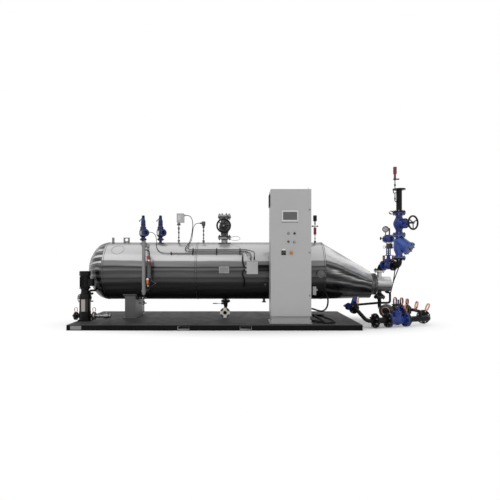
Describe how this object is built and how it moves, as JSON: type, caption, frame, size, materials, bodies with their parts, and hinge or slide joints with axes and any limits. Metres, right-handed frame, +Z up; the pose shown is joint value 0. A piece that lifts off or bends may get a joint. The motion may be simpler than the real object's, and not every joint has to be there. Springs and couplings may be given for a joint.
{
  "type": "skid-mounted kettle steam generator",
  "caption": "Insulated horizontal steam generator on a steel skid, with control cabinet, feed pump, safety valves and steam and condensate valve trains.",
  "frame": {"origin": "centre of the skid's underside, on the floor", "axes": "+X along the vessel towards the channel head and valve trains, +Y away from the operator's side, +Z up"},
  "size_m": [5.6765, 1.7, 2.492],
  "materials": {
    "mirror_steel": "mirror polished",
    "skid_black": "satin",
    "light_grey": "fine textured paint",
    "valve_blue": "gloss enamel on iron",
    "pipe_black": "satin enamel",
    "bare_steel": "machined",
    "copper": "bright",
    "cable_black": "matt",
    "black_plastic": "satin",
    "signal_red": "gloss"
  },
  "bodies": {
    "plant": {"blowdown_valve": "pipe_black", "bonding_straps": "copper", "cabinet_body": "light_grey", "cabinet_cable": "cable_black", "cabinet_plinth": "light_grey", "cabinet_vent": "black_plastic", "cable_duct": "skid_black", "channel_cover": "light_grey", "channel_head": "light_grey", "condensate_pipes": "pipe_black", "condensate_valves": "valve_blue", "conduit_clamps": "black_plastic", "conduits": "cable_black", "control_actuator": "valve_blue", "control_valve": "valve_blue", "deck_cable": "cable_black", "drain_cable": "cable_black", "elbow_stay": "pipe_black", "feed_line": "pipe_black", "girth_flanges": "bare_steel", "inlet_elbows": "pipe_black", "inlet_spool": "pipe_black", "inlet_stop_valve": "valve_blue", "junction_boxes": "light_grey", "level_column": "light_grey", "level_gauge": "bare_steel", "lifting_lugs": "light_grey", "mounting_plate": "bare_steel", "nameplate_bracket": "bare_steel", "pressure_sensors": "signal_red", "probe_cable": "cable_black", "probe_rods": "bare_steel", "pump_castings": "pipe_black", "pump_motor": "pipe_black", "pump_sleeve": "bare_steel", "pump_suction": "bare_steel", "saddles": "light_grey", "safety_cable": "cable_black", "safety_valves": "valve_blue", "shell": "mirror_steel", "shell_cone": "mirror_steel", "shell_head": "mirror_steel", "skid_deck": "skid_black", "skid_frame": "skid_black", "steam_instruments": "bare_steel", "steam_outlet_flanges": "bare_steel", "steam_outlet_valve": "bare_steel", "strainer": "valve_blue", "temperature_cable": "cable_black", "trap_station": "bare_steel", "vessel_fittings": "bare_steel"},
    "door": {"cabinet_door": "light_grey", "door_controls": "black_plastic"},
    "outlet_wheel": {"steam_outlet_handwheel": "pipe_black"},
    "inlet_wheel": {"inlet_handwheel": "pipe_black"},
    "condensate_wheel": {"condensate_handwheel": "pipe_black"},
    "feed_wheel": {"feed_handwheel": "pipe_black"},
    "blowdown_lever": {"blowdown_lever": "bare_steel"}
  },
  "joints": [
    {"name": "door_swing", "type": "hinge", "parent": "plant", "child": "door", "pos_m": [0.833, -0.71, 1.13], "axis": [0, 0, -1], "range_deg": [0, 120]},
    {"name": "outlet_wheel_turn", "type": "hinge", "parent": "plant", "child": "outlet_wheel", "pos_m": [0.103, -0.15, 1.574], "axis": [0, -1, 0], "range_deg": [0, 2880]},
    {"name": "inlet_wheel_turn", "type": "hinge", "parent": "plant", "child": "inlet_wheel", "pos_m": [3.0381, -0.43381, 1.598], "axis": [0.4695, -0.8829, 0], "range_deg": [0, 2880]},
    {"name": "condensate_wheel_turn", "type": "hinge", "parent": "plant", "child": "condensate_wheel", "pos_m": [2.76426, -0.50781, 0.338], "axis": [0, 0, 1], "range_deg": [0, 2520]},
    {"name": "feed_wheel_turn", "type": "hinge", "parent": "plant", "child": "feed_wheel", "pos_m": [-2.15927, -0.28523, 0.417], "axis": [-0.6428, -0.766, 0], "range_deg": [0, 1800]},
    {"name": "blowdown_lever_swing", "type": "hinge", "parent": "plant", "child": "blowdown_lever", "pos_m": [0.061, 0.18, 0.29], "axis": [0, -1, 0], "range_deg": [0, 30]}
  ]
}
